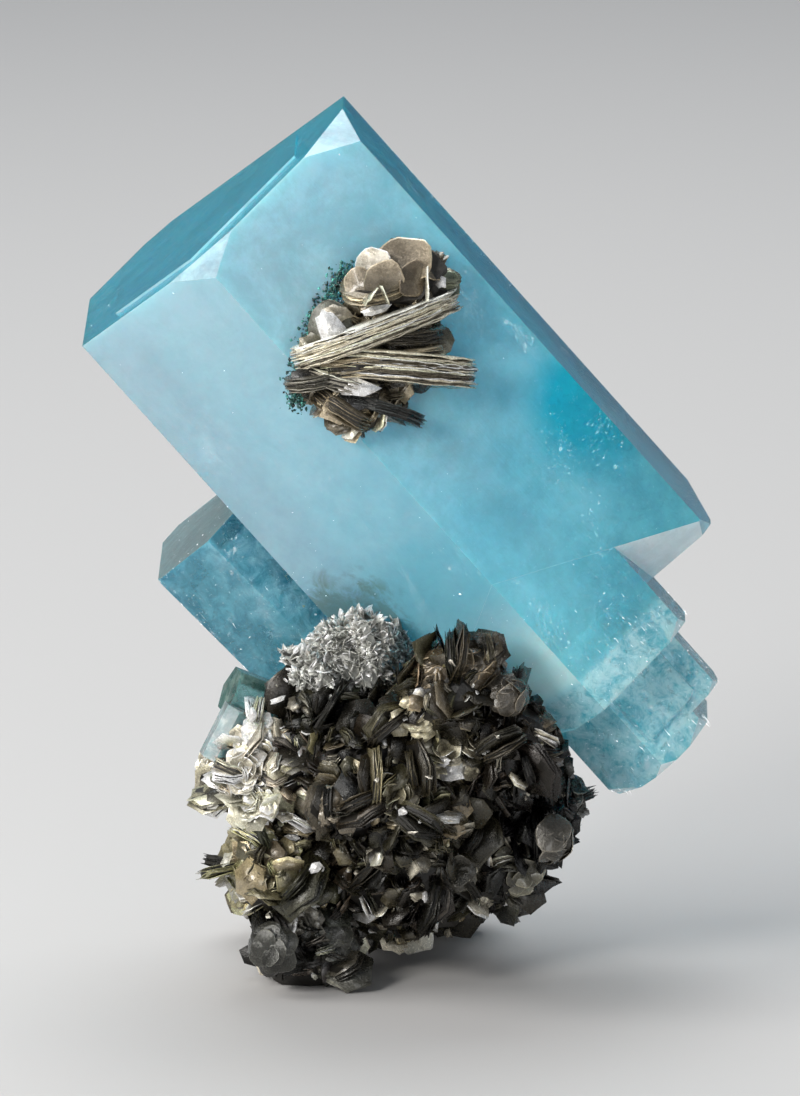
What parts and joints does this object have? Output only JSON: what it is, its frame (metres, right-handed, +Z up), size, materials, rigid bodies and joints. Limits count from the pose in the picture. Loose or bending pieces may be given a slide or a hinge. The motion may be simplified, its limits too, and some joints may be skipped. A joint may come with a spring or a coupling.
{
  "type": "aquamarine crystal specimen on muscovite",
  "caption": "Pale blue six-sided beryl prism, flat at both ends, leaning out of a lumpy mica matrix, with smaller parallel crystals grown into it and a mica cluster on its front.",
  "frame": {"origin": "centre of the bounding box, on the floor", "axes": "+Z up; -Y towards a viewer of the show side; the big crystal leans to -X, its long axis in the XZ plane"},
  "size_m": [0.1204, 0.0889, 0.1646],
  "materials": {
    "aquamarine": "clear pale blue with milky veils, glossy natural faces",
    "green_beryl": "cloudy green, glossy natural faces",
    "pale_beryl": "almost colourless, glossy natural faces",
    "muscovite": "olive grey mica leaves with pearly flat sides",
    "brown_muscovite": "beige brown mica leaves with pearly flat sides"
  },
  "bodies": {
    "root": {"aquamarine_crystals": "aquamarine", "small_green_crystal": "green_beryl", "small_pale_crystal": "pale_beryl", "muscovite_matrix": "muscovite", "muscovite_cluster": "brown_muscovite"}
  },
  "joints": []
}
